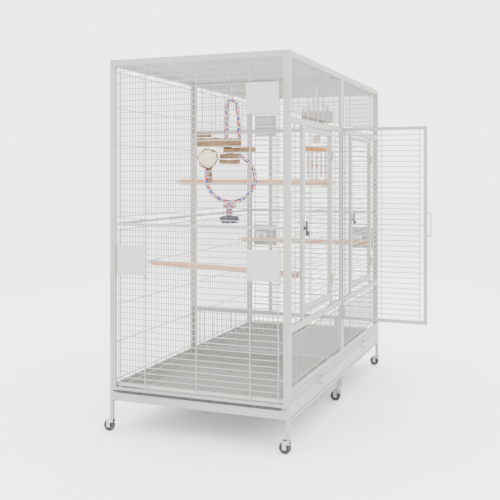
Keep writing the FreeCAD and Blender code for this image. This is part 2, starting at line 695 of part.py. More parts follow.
def make_casters():
    fork, wheel = caster_fork(), caster_wheel()
    for name, (x, y) in leg_places.items():
        copy_node("caster_fork_" + name, fork, x=x, y=y)
        copy_node("caster_wheel_" + name, wheel, x=x, y=y + s.caster_trail, z=s.wheel_radius)


# ---------------------------------------------------------------- perches
PERCHES = {
    "perch_upper": ((-165.2, -165.2), 1078.0, "perch_radius"),
    "perch_lower": ((-663.0, -470.0), 698.0, "slim_perch_radius"),
    "perch_right": ((673.2, 673.2), 727.0, "slim_perch_radius"),
}
perch_end = half_depth - s.tube - 1


def make_perches():
    fasteners = []
    for label, ((front_x, back_x), z, radius) in PERCHES.items():
        start = Vector(front_x, -perch_end + 2, z)
        end = Vector(back_x, perch_end - 2, z)
        dowel = doc.addObject("Part::Cylinder", "dowel")
        dowel.setExpression("Radius", cells(radius))
        dowel.Height = (end - start).Length
        dowel.Placement = FreeCAD.Placement(start, FreeCAD.Rotation(Vector(0, 0, 1), end - start))
        node(label, group(dowel))
        for x, side in ((front_x, -1), (back_x, 1)):
            washer = rod("y", x, min(side * perch_end, side * (perch_end - 1.4)), z, 1.4, 11)
            bolt = rod("y", x, min(side * (half_depth + 3), side * (perch_end - 22)), z,
                       half_depth + 3 - perch_end + 22, "bolt_radius")
            nut = rod("y", x, min(side * (half_depth + 0.6), side * (half_depth + 4)), z, 3.4, 9)
            fasteners.append(fuse(washer, bolt, nut))
    node("perch_fasteners", group(*fasteners))


def make_roof_bolts():
    rail = s.tube / 2
    places = [(sx * (half_length - rail), sy * 257.0) for sx in (-1, 1) for sy in (-1, 1)]
    places += [(x, sy * (half_depth - rail)) for x in (-625.0, -265.0, 265.0, 625.0) for sy in (-1, 1)]
    bolts = []
    for x, y in places:
        shank = rod("z", x, y, s.roof_top - 20, 21, "bolt_radius")
        head = rod("z", x, y, s.roof_top, 4, "bolt_head_radius")
        bolts.append(fuse(shank, head))
    node("roof_bolts", group(*bolts))


# ---------------------------------------------------------------- toys
toy_x, toy_y = -355.0, 32.0
TOY_TURN = -68.7                 # the rope toy hangs in a plane square to the near corner
block_toy_x, block_toy_y = 380.0, -165.0
# Rope routes in the toy's own upright plane: across, height.
LOOP_ROUTE = ((-27, 1256), (-28, 1340), (-26, 1432), (-15, 1466), (15, 1466), (26, 1432), (35, 1340), (36, 1256))
RING_ROUTE = ((34, 1206), (86, 1174), (113, 1111), (104, 1049), (62, 1001), (-1, 981),
              (-64, 997), (-110, 1042), (-124, 1103), (-116, 1152))


def rope_tube(route, label):
    """Round rope along straight runs and the largest tangent arcs between them."""
    points = [Vector(u, 0, z) for u, z in route]
    edges, radii = [], []
    start = points[0]
    length = 0.0
    for before, corner, after in zip(points, points[1:], points[2:]):
        a, b = (before - corner), (after - corner)
        run = 0.45 * min(a.Length, b.Length)
        a.normalize()
        b.normalize()
        turn = math.pi - a.getAngle(b)
        radius = run / math.tan(turn / 2)
        p, q = corner + a * run, corner + b * run
        inward = (a + b).normalize()
        centre = corner + inward * (radius / math.cos(turn / 2))
        middle = centre - inward * radius
        edges.append(Part.LineSegment(start, p).toShape())
        edges.append(Part.Arc(p, middle, q).toShape())
        length += (p - start).Length + radius * turn
        radii.append(round(radius, 1))
        start = q
    edges.append(Part.LineSegment(start, points[-1]).toShape())
    length += (points[-1] - start).Length
    path = Part.Wire(edges)
    ring = Part.Wire([Part.makeCircle(s.rope_radius, points[0], points[1] - points[0])])
    rope = path.makePipeShell([ring], True, True)
    expected = math.pi * s.rope_radius ** 2 * length
    print(label, "length", round(length, 1), "radii", radii, "volume ratio", round(rope.Volume / expected, 4))
    piece = doc.addObject("Part::Feature", label)
    piece.Shape = rope
    return piece


def make_rope_toy():
    at = dict(x=toy_x, y=toy_y, turn=TOY_TURN)
    ring_z = 1468.5
    eye = doc.addObject("Part::Torus", "eye")
    eye.Radius1, eye.Radius2 = 13.0, 1.8
    eye.Placement = FreeCAD.Placement(Vector(0, 0, ring_z), FreeCAD.Rotation(Vector(0, 1, 0), 90))
    shank = rod("z", 0, 0, ring_z + 12, wall_top - 6 - ring_z - 12, 1.8)
    cross = rod("x", -22, 0, wall_top - 6, 44, 2)
    node("toy_hanger", fuse(eye, shank, cross), **at)
    node("toy_rope_loop", rope_tube(LOOP_ROUTE, "loop"), **at)
    node("toy_rope_ring", rope_tube(RING_ROUTE, "ring"), **at)
    disc = rod("y", -112, -46, 1188, 60, 50)
    peg = rod("z", -101, 0, 1076, 70, 9)
    logs = [rod("x", -168, -14, 1264, 214, 24), rod("x", -166, -14, 1300.5, 72, 12),
            rod("x", -40, 8, 1231, 152, 14), rod("x", -56, 6, 1202, 96, 13),
            rod("x", -60, 6, 1175, 100, 11), fuse(disc, peg)]
    node("toy_logs", group(*logs), **at)
    coil = rod("z", -12, 0, 957, 16, 33)
    neck = rod("z", -12, 0, 919, 40, 16)
    strips = rod("z", -12, 0, 895, 26, 50)
    fringe = doc.addObject("Part::Cone", "fringe")
    fringe.Radius1, fringe.Radius2, fringe.Height = 38.0, 48.0, 12.0
    fringe.Placement.Base = Vector(-12, 0, 884)
    node("toy_tassel", fuse(coil, neck, strips, fringe), **at)


def make_block_toy():
    top = wall_top - 6
    wire = rod("z", 0, 0, 1222, top - 1222, 1.8)
    cross = rod("x", -22, 0, top, 44, 2)
    pieces = [fuse(wire, cross)]
    bore = rod("z", 0, 0, 1200, 320, 2.2)
    pieces.append(cut(block(-84, -26, 1400, 168, 52, 62), bore))
    pieces.append(cut(block(-62, -22, 1240, 124, 44, 34), bore))
    pieces.append(cut(block(-20, -20, 1290, 40, 40, 40), bore))
    for i in range(5):
        pieces.append(rod("z", -48 + 24 * i, 0, 1090 - 24 * (i % 3), 150 + 24 * (i % 3), 5))
    node("block_toy", group(*pieces), x=block_toy_x, y=block_toy_y, turn=TOY_TURN)


make_legs()
make_base()
make_walls()
make_doors()
make_feeders()
make_divider()
make_drawers()
make_casters()
make_perches()
make_roof_bolts()
make_rope_toy()
make_block_toy()
doc.recompute()

# ---------------------------------------------------------------- checks and export
for item in doc.Objects:
    if "Invalid" in item.State or "Error" in item.State:
        raise RuntimeError("%s (%s) did not compute: %s" % (item.Name, item.Label, item.State))
for item in nodes:
    if item.Shape.isNull() or not item.Shape.isValid():
        raise RuntimeError(item.Label + " has no valid shape")
os.makedirs("parts", exist_ok=True)
whole = FreeCAD.BoundBox()
for item in nodes:
    whole.add(item.Shape.BoundBox)
    item.Shape.exportStep("parts/%s.step" % item.Label)
print(len(nodes), "nodes; box", whole)
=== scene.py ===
"""Looks for the divided bird cage on casters: finishes, ropes, logs and toys."""

import json
import math
import random

import bmesh
import bpy
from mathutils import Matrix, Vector, noise


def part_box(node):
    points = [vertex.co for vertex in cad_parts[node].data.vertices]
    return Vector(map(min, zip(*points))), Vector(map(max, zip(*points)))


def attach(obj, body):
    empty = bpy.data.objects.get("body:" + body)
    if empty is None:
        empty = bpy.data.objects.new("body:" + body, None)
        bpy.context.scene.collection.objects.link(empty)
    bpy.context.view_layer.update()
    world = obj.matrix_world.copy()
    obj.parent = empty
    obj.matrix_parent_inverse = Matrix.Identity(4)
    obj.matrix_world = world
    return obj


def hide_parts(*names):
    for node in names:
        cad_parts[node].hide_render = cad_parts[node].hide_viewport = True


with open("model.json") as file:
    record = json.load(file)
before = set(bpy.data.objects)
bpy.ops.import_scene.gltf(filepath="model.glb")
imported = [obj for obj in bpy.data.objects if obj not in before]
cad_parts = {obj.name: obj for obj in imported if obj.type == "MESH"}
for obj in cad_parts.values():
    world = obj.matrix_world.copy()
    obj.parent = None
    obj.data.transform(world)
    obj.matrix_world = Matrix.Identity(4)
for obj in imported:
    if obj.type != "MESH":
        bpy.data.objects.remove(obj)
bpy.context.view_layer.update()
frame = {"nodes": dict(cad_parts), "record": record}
scene = bpy.context.scene
rng = random.Random(7)

# ------------------------------------------------------------------ camera and light
camera_data = bpy.data.cameras.new("camera")
camera_data.sensor_width = 36.0
camera_data.lens = 57.46
camera_data.shift_y = -0.145
camera = bpy.data.objects.new("camera", camera_data)
camera.location = (-3.8246, -1.2170, 1.1004)
camera.rotation_euler = (math.radians(90.0), 0.0, math.radians(-68.64))
scene.collection.objects.link(camera)
scene.camera = camera

STUDIO_STRENGTH = 4.2
# name, place, what it points at, size in metres, power in watts
LIGHTS = (
    ("key", (-3.6, -4.2, 4.2), (0.0, 0.0, 0.8), 4.0, 260.0),
    ("fill", (-4.6, 2.6, 2.4), (0.0, 0.0, 0.8), 3.5, 60.0),
    ("top", (0.6, 0.2, 4.6), (0.0, 0.2, 0.0), 4.0, 120.0),
    ("rim", (4.2, 2.0, 3.0), (0.0, 0.0, 0.9), 3.0, 60.0),
)
for light_name, place, target, size, power in LIGHTS:
    light_data = bpy.data.lights.new(light_name, "AREA")
    light_data.size = size
    light_data.energy = power
    light = bpy.data.objects.new(light_name, light_data)
    light.location = place
    light.rotation_euler = (Vector(target) - Vector(place)).to_track_quat("-Z", "Y").to_euler()
    scene.collection.objects.link(light)

world = bpy.data.worlds.new("studio")
world.use_nodes = True
world.node_tree.nodes["Background"].inputs["Color"].default_value = (1.0, 1.0, 1.0, 1.0)
world.node_tree.nodes["Background"].inputs["Strength"].default_value = STUDIO_STRENGTH
scene.world = world


# ------------------------------------------------------------------ finishes
class Finish:
    """A procedural material, built on the object's own coordinates."""

    def __init__(self, name, roughness, metallic=0.0, scale=(1.0, 1.0, 1.0), uv=False):
        self.material = bpy.data.materials.new(name)
        self.material.use_nodes = True
        self.tree = self.material.node_tree
        self.shader = self.tree.nodes["Principled BSDF"]
        self.shader.inputs["Roughness"].default_value = roughness
        self.shader.inputs["Metallic"].default_value = metallic
        self.normal = None
        coords = self.add("ShaderNodeTexCoord")
        mapping = self.add("ShaderNodeMapping")
        mapping.inputs["Scale"].default_value = scale
        self.link(coords.outputs["UV" if uv else "Object"], mapping.inputs["Vector"])
        self.place = mapping.outputs["Vector"]

    def add(self, kind):
        return self.tree.nodes.new(kind)

    def link(self, source, target):
        self.tree.links.new(source, target)

    def noise(self, scale, detail=4.0, roughness=0.55):
        node = self.add("ShaderNodeTexNoise")
        node.inputs["Scale"].default_value = scale
        node.inputs["Detail"].default_value = detail
        node.inputs["Roughness"].default_value = roughness
        self.link(self.place, node.inputs["Vector"])
        return node.outputs["Fac"]

    def voronoi(self, scale):
        node = self.add("ShaderNodeTexVoronoi")
        node.inputs["Scale"].default_value = scale
        self.link(self.place, node.inputs["Vector"])
        return node

    def ramp(self, source, stops, constant=False):
        node = self.add("ShaderNodeValToRGB")
        if constant:
            node.color_ramp.interpolation = "CONSTANT"
        while len(node.color_ramp.elements) < len(stops):
            node.color_ramp.elements.new(0.5)
        for element, (position, colour) in zip(node.color_ramp.elements, stops):
            element.position = position
            element.color = (*colour, 1.0)
        self.link(source, node.inputs["Fac"])
        return node.outputs["Color"]

    def math(self, operation, a, b=0.0):
        node = self.add("ShaderNodeMath")
        node.operation = operation
        for socket, value in zip(node.inputs, (a, b)):
            if isinstance(value, (int, float)):
                socket.default_value = value
            else:
                self.link(value, socket)
        return node.outputs["Value"]

    def mix(self, factor, a, b, blend="MIX"):
        node = self.add("ShaderNodeMix")
        node.data_type = "RGBA"
        node.blend_type = blend
        if isinstance(factor, (int, float)):
            node.inputs[0].default_value = factor
        else:
            self.link(factor, node.inputs[0])
        self.link(a, node.inputs[6])
        self.link(b, node.inputs[7])
        return node.outputs[2]

    def colour(self, source):
        self.link(source, self.shader.inputs["Base Color"])
        return self

    def rough(self, source, low, high):
        node = self.add("ShaderNodeMapRange")
        node.inputs["To Min"].default_value = low
        node.inputs["To Max"].default_value = high
        self.link(source, node.inputs["Value"])
        self.link(node.outputs["Result"], self.shader.inputs["Roughness"])
        return self

    def bump(self, source, strength, distance):
        node = self.add("ShaderNodeBump")
        node.inputs["Strength"].default_value = strength
        node.inputs["Distance"].default_value = distance
        self.link(source, node.inputs["Height"])
        if self.normal is not None:
            self.link(self.normal, node.inputs["Normal"])
        self.normal = node.outputs["Normal"]
        self.link(self.normal, self.shader.inputs["Normal"])
        return self


def painted(name, light, dark, roughness):
    """Powder coat: fine orange peel, faint mottling and slightly dusty patches."""
    finish = Finish(name, roughness)
    patches = finish.noise(3.0, 6.0)
    finish.colour(finish.ramp(patches, ((0.3, dark), (0.7, light))))
    finish.rough(finish.noise(14.0), roughness - 0.06, roughness + 0.08)
    finish.bump(finish.noise(900.0, 2.0), 0.12, 0.0004)
    finish.shader.inputs["Coat Weight"].default_value = 0.15
    finish.shader.inputs["Coat Roughness"].default_value = 0.3
    return finish.material


def metal(name, light, dark, low, high):
    """Bare or plated metal, faintly clouded, its roughness between low and high."""
    finish = Finish(name, low, metallic=1.0)
    finish.colour(finish.ramp(finish.noise(30.0, 5.0), ((0.3, dark), (0.7, light))))
    finish.rough(finish.noise(60.0, 3.0), low, high)
    finish.bump(finish.noise(400.0, 2.0), 0.05, 0.0002)
    return finish.material


def zinc():
    """Zinc plating with its small crystal pattern."""
    finish = Finish("galvanised_zinc", 0.42, metallic=0.85)
    cells = finish.voronoi(90.0)
    finish.colour(finish.ramp(cells.outputs["Distance"], (
        (0.0, (0.34, 0.35, 0.35)), (0.6, (0.46, 0.47, 0.47)))))
    finish.rough(cells.outputs["Distance"], 0.3, 0.55)
    finish.bump(finish.noise(300.0, 2.0), 0.1, 0.0003)
    return finish.material


def wood(name, light, dark, along):
    """Straight-grained dowel or block, its grain running along one axis."""
    scale = [46.0, 46.0, 46.0]
    scale[along] = 1.6
    finish = Finish(name, 0.62, scale=scale)
    grain = finish.noise(1.0, 8.0, 0.65)
    fine = finish.noise(7.0, 4.0, 0.6)
    between = [0.5 * (a + b) for a, b in zip(light, dark)]
    body = finish.ramp(grain, ((0.32, dark), (0.5, light), (0.72, between)))
    flecks = finish.ramp(fine, ((0.35, (0.72, 0.68, 0.62)), (0.6, (1.0, 1.0, 1.0))))
    finish.colour(finish.mix(0.6, body, flecks, "MULTIPLY"))
    finish.rough(fine, 0.5, 0.75)
    finish.bump(grain, 0.25, 0.0008)
    return finish.material


def bark():
    """Rough brown bark in ridges and blotches."""
    finish = Finish("log_bark", 0.85)
    ridges = finish.noise(55.0, 8.0, 0.7)
    blotches = finish.noise(16.0, 4.0)
    shade = finish.ramp(ridges, (
        (0.3, (0.08, 0.045, 0.02)), (0.55, (0.22, 0.13, 0.06)), (0.75, (0.36, 0.24, 0.13))))
    tint = finish.ramp(blotches, ((0.35, (0.78, 0.70, 0.60)), (0.65, (1.0, 1.0, 1.0))))
    finish.colour(finish.mix(0.8, shade, tint, "MULTIPLY"))
    finish.bump(ridges, 0.8, 0.002)
    finish.bump(finish.noise(260.0, 3.0), 0.4, 0.0006)
    return finish.material


def cut_end():
    """Sawn end grain: rings round the pith and fine saw marks."""
    finish = Finish("log_cut_end", 0.7, uv=True)
    wave = finish.add("ShaderNodeTexWave")
    wave.wave_type = "RINGS"
    wave.rings_direction = "SPHERICAL"
    wave.inputs["Scale"].default_value = 9.0
    wave.inputs["Distortion"].default_value = 2.2
    wave.inputs["Detail"].default_value = 3.0
    finish.link(finish.place, wave.inputs["Vector"])
    finish.colour(finish.ramp(wave.outputs["Fac"], (
        (0.2, (0.60, 0.46, 0.28)), (0.8, (0.74, 0.61, 0.42)))))
    finish.bump(finish.noise(60.0, 4.0), 0.3, 0.0006)
    return finish.material


def twisted_yarn(name, colours):
    """Cotton yarns lying side by side round a strand, in their own colours."""
    finish = Finish(name, 0.95, uv=True)
    split = finish.add("ShaderNodeSeparateXYZ")
    finish.link(finish.place, split.inputs["Vector"])
    along, across = split.outputs["X"], split.outputs["Y"]
    lay = finish.math("ADD", finish.math("MULTIPLY", along, 34.0), across)
    turn = finish.math("FRACT", lay)
    count = len(colours)
    stops = tuple((i / count, colour) for i, colour in enumerate(colours))
    dye = finish.ramp(turn, stops, constant=True)
    fuzz = finish.ramp(finish.noise(700.0, 3.0), ((0.3, (0.72, 0.72, 0.72)), (0.7, (1.0, 1.0, 1.0))))
    finish.colour(finish.mix(0.7, dye, fuzz, "MULTIPLY"))
    yarn = finish.math("SINE", finish.math("MULTIPLY", lay, 2 * math.pi * count))
    finish.bump(yarn, 0.55, 0.0007)
    finish.bump(finish.noise(1400.0, 2.0), 0.35, 0.0003)
    finish.shader.inputs["Sheen Weight"].default_value = 0.35
    return finish.material


def leather():
    """Dark creased leather, paler where it is worn."""
    finish = Finish("dark_leather_strips", 0.7)
    creases = finish.voronoi(420.0)
    finish.colour(finish.ramp(finish.noise(40.0, 5.0), (
        (0.3, (0.028, 0.026, 0.034)), (0.6, (0.07, 0.062, 0.085)), (0.8, (0.20, 0.17, 0.20)))))
    finish.bump(creases.outputs["Distance"], 0.5, 0.0006)
    return finish.material


def stained(name, colour):
    """Dyed softwood toy block: stain with the grain showing through."""
    finish = Finish(name, 0.6, scale=(40.0, 40.0, 5.0))
    dark = [c * 0.6 for c in colour]
    finish.colour(finish.ramp(finish.noise(1.0, 7.0, 0.6), ((0.35, dark), (0.6, colour))))
    finish.bump(finish.noise(6.0, 3.0), 0.3, 0.0005)
    return finish.material


def black_rubber_and_shadow():
    """Black moulded rubber, slightly dusty; also the black of the painted shadow in the end slots."""
    finish = Finish("moulded_rubber_and_slot_shadow", 0.6)
    finish.colour(finish.ramp(finish.noise(40.0, 5.0), (
        (0.35, (0.012, 0.012, 0.012)), (0.7, (0.04, 0.04, 0.04)))))
    finish.bump(finish.noise(500.0, 3.0), 0.3, 0.0004)
    return finish.material


WHITE = (0.50, 0.49, 0.48)
RED = (0.50, 0.012, 0.012)
BLUE = (0.012, 0.05, 0.36)
BLACK = (0.01, 0.01, 0.02)

FINISHES = {
    "powder_coat": painted("white_powder_coat", (0.285, 0.28, 0.255), (0.25, 0.246, 0.224), 0.46),
    "plate": painted("plate_powder_coat", (0.38, 0.39, 0.378), (0.345, 0.355, 0.344), 0.42),
    "galvanised": zinc(),
    "perch_wood": wood("turned_dowel", (0.50, 0.29, 0.17), (0.38, 0.20, 0.11), 1),
    "bright_steel": metal("polished_steel", (0.62, 0.62, 0.63), (0.48, 0.48, 0.49), 0.16, 0.3),
    "dark_metal": painted("dark_enamel", (0.045, 0.048, 0.048), (0.03, 0.031, 0.031), 0.38),
    "grate_grey": painted("grate_powder_coat", (0.235, 0.225, 0.20), (0.205, 0.195, 0.172), 0.5),
    "chrome": metal("bright_chrome", (0.50, 0.50, 0.51), (0.36, 0.36, 0.37), 0.08, 0.18),
    "caster_rubber": black_rubber_and_shadow(),
    "toy_wood": bark(),
    "dark_leather": leather(),
    "toy_colours": stained("stain_grey_brown", (0.36, 0.30, 0.24)),
    "cotton_rope": twisted_yarn("rope_plain", (WHITE, RED, WHITE, BLUE)),
}
slots = {part["node"]: part["material_slot"] for part in frame["record"]["subparts"]}
for node_name, cad in frame["nodes"].items():
    finish = FINISHES[slots[node_name]]
    if not cad.material_slots:
        cad.data.materials.append(finish)
    for slot in cad.material_slots:
        slot.material = finish


# ------------------------------------------------------------------ mesh helpers
END_GRAIN_SIZE = 0.05     # radius over which an end's rings are drawn once


def piece_from(name, mesh_maker, materials, body, smooth=True):
    """A new piece from a bmesh that mesh_maker fills, riding on a body."""
    mesh = bpy.data.meshes.new(name)
    work = bmesh.new()
    uv = work.loops.layers.uv.new("UVMap")
    mesh_maker(work, uv)
    bmesh.ops.recalc_face_normals(work, faces=work.faces)
    for face in work.faces:
        face.smooth = smooth
    work.to_mesh(mesh)
    work.free()
    for item in materials:
        mesh.materials.append(item)
    piece = bpy.data.objects.new(name, mesh)
    scene.collection.objects.link(piece)
    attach(piece, body)
    return piece


def loft(work, uv, rings, material=0, end_material=None):
    """Skin a list of equal rings of points, with capped ends."""
    rows = [[work.verts.new(p) for p in ring] for ring in rings]
    count = len(rings[0])
    lengths = [0.0]
    for before, after in zip(rings, rings[1:]):
        lengths.append(lengths[-1] + (sum(after, Vector()) - sum(before, Vector())).length / count)
    for i in range(len(rows) - 1):
        for j in range(count):
            k = (j + 1) % count
            face = work.faces.new((rows[i][j], rows[i][k], rows[i + 1][k], rows[i + 1][j]))
            face.material_index = material
            values = ((lengths[i], j / count), (lengths[i], (j + 1) / count),
                      (lengths[i + 1], (j + 1) / count), (lengths[i + 1], j / count))
            for loop, value in zip(face.loops, values):
                loop[uv].uv = value
    for row, ring in ((rows[0], rings[0]), (rows[-1], rings[-1])):
        centre = sum(ring, Vector()) / count
        reach = max((p - centre).length for p in ring) / END_GRAIN_SIZE
        face = work.faces.new(row)
        face.material_index = material if end_material is None else end_material
        for j, loop in enumerate(face.loops):
            angle = 2 * math.pi * j / count
            loop[uv].uv = (0.5 * math.cos(angle) * reach, 0.5 * math.sin(angle) * reach)


def route_line(points):
    """Points along the smooth line of a route, in the order of the route."""
    data = bpy.data.curves.new("route", "CURVE")
    data.dimensions = "3D"
    data.resolution_u = 14
    spline = data.splines.new("NURBS")
    spline.points.add(len(points) - 1)
    for item, place in zip(spline.points, points):
        item.co = (*place, 1.0)
    spline.order_u = 3
    spline.use_endpoint_u = True
    holder = bpy.data.objects.new("route", data)
    scene.collection.objects.link(holder)
    bpy.context.view_layer.update()
    evaluated = holder.evaluated_get(bpy.context.evaluated_depsgraph_get())
    mesh = bpy.data.meshes.new_from_object(evaluated)
    line = [v.co.copy() for v in mesh.vertices]
    bpy.data.objects.remove(holder)
    bpy.data.meshes.remove(mesh)
    bpy.data.curves.remove(data)
    return line


def travelled(line):
    total = [0.0]
    for a, b in zip(line, line[1:]):
        total.append(total[-1] + (b - a).length)
    return total


def at_distance(line, total, distance):
    """Point and direction at a distance along a line."""
    distance = min(max(distance, 0.0), total[-1])
    i = 0
    while i < len(line) - 2 and total[i + 1] < distance:
        i += 1
    step = max(total[i + 1] - total[i], 1e-9)
    place = line[i].lerp(line[i + 1], (distance - total[i]) / step)
    low, high = max(i - 1, 0), min(i + 2, len(line) - 1)
    return place, (line[high] - line[low]).normalized()


def circle(centre, first, second, radius, sides):
    """Points round a centre, in the plane of two directions."""
    angles = [2 * math.pi * j / sides for j in range(sides)]
    return [centre + radius * (math.cos(a) * first + math.sin(a) * second) for a in angles]


def strand_rings(line, side, radius, offset, phase, pitch, sides=10, step=0.0016):
    """Rings of one strand that winds round a line lying in the plane square to side."""
    total = travelled(line)
    count = max(int(total[-1] / step), 8)
    centres = []
    for i in range(count + 1):
        distance = total[-1] * i / count
        place, along = at_distance(line, total, distance)
        across = along.cross(side).normalized()
        angle = phase + 2 * math.pi * distance / pitch
        centres.append(place + offset * (math.cos(angle) * side + math.sin(angle) * across))
    rings = []
    for i, centre in enumerate(centres):
        heading = (centres[min(i + 1, count)] - centres[max(i - 1, 0)]).normalized()
        first = side - heading * side.dot(heading)
        first.normalize()
        second = heading.cross(first)
        rings.append(circle(centre, first, second, radius, sides))
    return rings


SWELL = 1.28              # a strand's radius over that of three touching round ones
ROPE_PITCH = 0.052        # length of one full turn of a strand
STRANDS = [
    twisted_yarn("rope_red_strand", (RED, RED, WHITE, RED)),
    twisted_yarn("rope_blue_strand", (BLUE, BLUE, BLACK, WHITE)),
    twisted_yarn("rope_white_strand", (WHITE, BLACK, WHITE, RED)),
]


def rope(name, line, side, diameter, body):
    """Three-strand cotton rope along a line, its strands soft enough to swell a little."""
    radius = diameter / 2 / (1 + 2 / math.sqrt(3))
    offset = radius * 2 / math.sqrt(3)

    def fill(work, uv):
        for i in range(3):
            rings = strand_rings(line, side, radius * SWELL, offset, 2 * math.pi * i / 3, ROPE_PITCH)
            loft(work, uv, rings, material=i)

    return piece_from(name, fill, STRANDS, body)


# ------------------------------------------------------------------ rope toy
TOY_TURN = math.radians(-68.7)
toy_x, toy_y = -0.355, 0.232   # the middle of its hanger
ACROSS = Vector((math.cos(TOY_TURN), math.sin(TOY_TURN), 0.0))
THROUGH = Vector((-math.sin(TOY_TURN), math.cos(TOY_TURN), 0.0))
ROPE = 0.018


def toy(u, v, z):
    """A point of the rope toy: across, through and height, in metres."""
    return Vector((toy_x, toy_y, 0.0)) + ACROSS * u + THROUGH * v + Vector((0.0, 0.0, z))


LOOP_ROUTE = ((-0.027, 1.256), (-0.028, 1.340), (-0.026, 1.432), (-0.015, 1.466),
              (0.015, 1.466), (0.026, 1.432), (0.035, 1.340), (0.036, 1.256))
RING_ROUTE = ((0.034, 1.206), (0.086, 1.174), (0.113, 1.111), (0.104, 1.049), (0.062, 1.001),
              (-0.001, 0.981), (-0.064, 0.997), (-0.110, 1.042), (-0.124, 1.103), (-0.116, 1.152))

loop_line = route_line([toy(u, 0.0, z) for u, z in LOOP_ROUTE])
ring_line = route_line([toy(u, 0.0, z) for u, z in RING_ROUTE])
rope_loop = rope("rope_loop", loop_line, THROUGH, ROPE, "rope_toy")
rope_ring = rope("rope_ring", ring_line, THROUGH, ROPE, "rope_toy")
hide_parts("toy_rope_loop")
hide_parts("toy_rope_ring")

LOG_BARK = bark()
LOG_END = cut_end()


def log_rings(start, end, radius, seed, sides=40, rows=26, wobble=0.22):
    """A branch between two points: uneven, with knots and a slight waist."""
    heading = (end - start).normalized()
    first = heading.orthogonal().normalized()
    second = heading.cross(first)
    rings = []
    for i in range(rows + 1):
        t = i / rows
        centre = start.lerp(end, t)
        ease = 1.0 - 0.10 * (abs(2 * t - 1) ** 14)
        ring = []
        for j in range(sides):
            angle = 2 * math.pi * j / sides
            outward = math.cos(angle) * first + math.sin(angle) * second
            place = centre + outward * radius
            lump = noise.noise((place + Vector((seed, seed, 0.0))) * 34.0)
            ridge = noise.noise((place + Vector((0.0, seed, seed))) * 120.0)
            ring.append(centre + outward * radius * ease * (0.90 + wobble * lump + 0.035 * ridge))
        rings.append(ring)
    return rings


# from, to, through, height and radius of each lying branch
LOGS = (
    (-0.168, 0.046, -0.014, 1.264, 0.024), (-0.166, -0.094, -0.014, 1.3005, 0.012),
    (-0.040, 0.112, 0.008, 1.231, 0.014), (-0.056, 0.040, 0.006, 1.202, 0.013),
    (-0.060, 0.040, 0.006, 1.175, 0.011),
)


def fill_logs(work, uv):
    """The lying branches, the cut slab and the peg under it."""
    for seed, (low, high, v, z, radius) in enumerate(LOGS):
        loft(work, uv, log_rings(toy(low, v, z), toy(high, v, z), radius, seed), end_material=1)
    slab = log_rings(toy(-0.112, -0.046, 1.188), toy(-0.112, 0.014, 1.188), 0.050, 9, 56)
    peg = log_rings(toy(-0.101, 0.0, 1.146), toy(-0.101, 0.0, 1.076), 0.009, 12)
    for rings in (slab, peg):
        loft(work, uv, rings, end_material=1)


logs = piece_from("branch_logs", fill_logs, [LOG_BARK, LOG_END], "rope_toy")
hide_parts("toy_logs")


tassel_u = -0.012         # where the tassel hangs under the ring


def fill_tassel_rope(work, uv):
    """A flat coil of thinner rope and a short neck under the ring."""
    upward = Vector((0.0, 0.0, 1.0))
    around = [2 * math.pi * k / 60 for k in range(61)]
    for turn, (radius, z) in enumerate(((0.0265, 0.9685), (0.0255, 0.9615))):
        line = [toy(tassel_u, 0.0, z)
                + Vector((math.cos(a) * radius, math.sin(a) * radius, 0.0014 * math.sin(3 * a)))
                for a in around]
        for i in range(3):
            phase = 2 * math.pi * i / 3 + turn
            rings = strand_rings(line, upward, 0.0028, 0.0030, phase, 0.034, 8)
            loft(work, uv, rings, material=i)
    for k in range(6):
        angle = 2 * math.pi * k / 6
        foot = Vector((math.cos(angle) * 0.010, math.sin(angle) * 0.010, 0.0))
        neck = ((0.972, 0.6), (0.950, 1.0), (0.935, 1.15), (0.921, 1.0))
        line = [toy(tassel_u, 0.0, z) + foot * spread for z, spread in neck]
        for i in range(3):
            phase = 2 * math.pi * i / 3 + k
            rings = strand_rings(line, THROUGH, 0.0022, 0.0024, phase, 0.026, 8)
            loft(work, uv, rings, material=i)


tassel_rope = piece_from("tassel_knot", fill_tassel_rope, STRANDS, "rope_toy")


def fill_tassel(work, uv):
    """A thick bundle of leather strips: it bulges over the knot and hangs in a fringe."""
    width = 0.0040
    for layer, count in enumerate((34, 40, 46)):
        for k in range(count):
            angle = 2 * math.pi * (k + 0.5 * layer) / count + rng.uniform(-0.05, 0.05)
            outward = Vector((math.cos(angle), math.sin(angle), 0.0))
            sideways = Vector((-math.sin(angle), math.cos(angle), 0.0))
            reach = (0.049 - 0.005 * layer) * rng.uniform(0.93, 1.0)
            bottom = 0.8845 + 0.008 * rng.random()
            profile = (
                (0.010, 0.9205), (0.026, 0.9200 - 0.002 * layer),
                (0.6 * reach + 0.012, 0.9180 - 0.002 * layer), (reach, 0.911), (reach, 0.900),
                (0.86 * reach, bottom + 0.006), (0.80 * reach, bottom))
            left = [toy(tassel_u, 0.0, z) + outward * r - sideways * width for r, z in profile]
            right = [toy(tassel_u, 0.0, z) + outward * r + sideways * width for r, z in profile]
            rows = [(work.verts.new(a), work.verts.new(b)) for a, b in zip(left, right)]
            for (a, b), (c, d) in zip(rows, rows[1:]):
                work.faces.new((a, b, d, c))


tassel = piece_from("leather_tassel", fill_tassel, [FINISHES["dark_leather"]], "rope_toy")
thickness = tassel.modifiers.new("thickness", "SOLIDIFY")
thickness.thickness = 0.0012
thickness.offset = -1.0
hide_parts("toy_tassel")

# ------------------------------------------------------------------ block toy
block_x, block_y = 0.380, 0.035   # the middle of its wire


def hung(u, v, z):
    """A point of the block toy: across, through and height, in metres."""
    return Vector((block_x, block_y, 0.0)) + ACROSS * u + THROUGH * v + Vector((0.0, 0.0, z))


